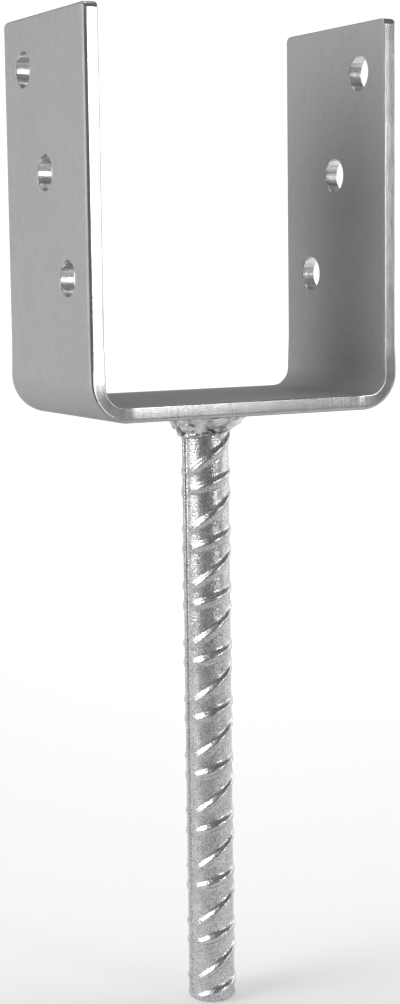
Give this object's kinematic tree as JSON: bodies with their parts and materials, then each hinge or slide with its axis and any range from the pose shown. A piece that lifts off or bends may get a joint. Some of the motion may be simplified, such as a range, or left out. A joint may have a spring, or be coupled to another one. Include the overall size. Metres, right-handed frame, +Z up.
{
  "type": "post base",
  "caption": "U-shaped galvanised steel post base: a folded flat bar with slanting rows of screw holes, welded to a ribbed steel rod that is cast into a concrete footing.",
  "frame": {"origin": "the middle of the seat, on the upper face of the U's base", "axes": "+Z up, from the rod towards the open top of the U; X across the U, from leg to leg; Y along the width of the bar"},
  "size_m": [0.111, 0.06, 0.325],
  "materials": {
    "galvanised_bar": "satin zinc coating",
    "galvanised_rod": "bright mottled zinc coating",
    "galvanised_weld": "zinc-coated weld"
  },
  "bodies": {
    "root": {"u_bracket": "galvanised_bar", "ribbed_rod": "galvanised_rod", "weld_bead": "galvanised_weld"}
  },
  "joints": []
}
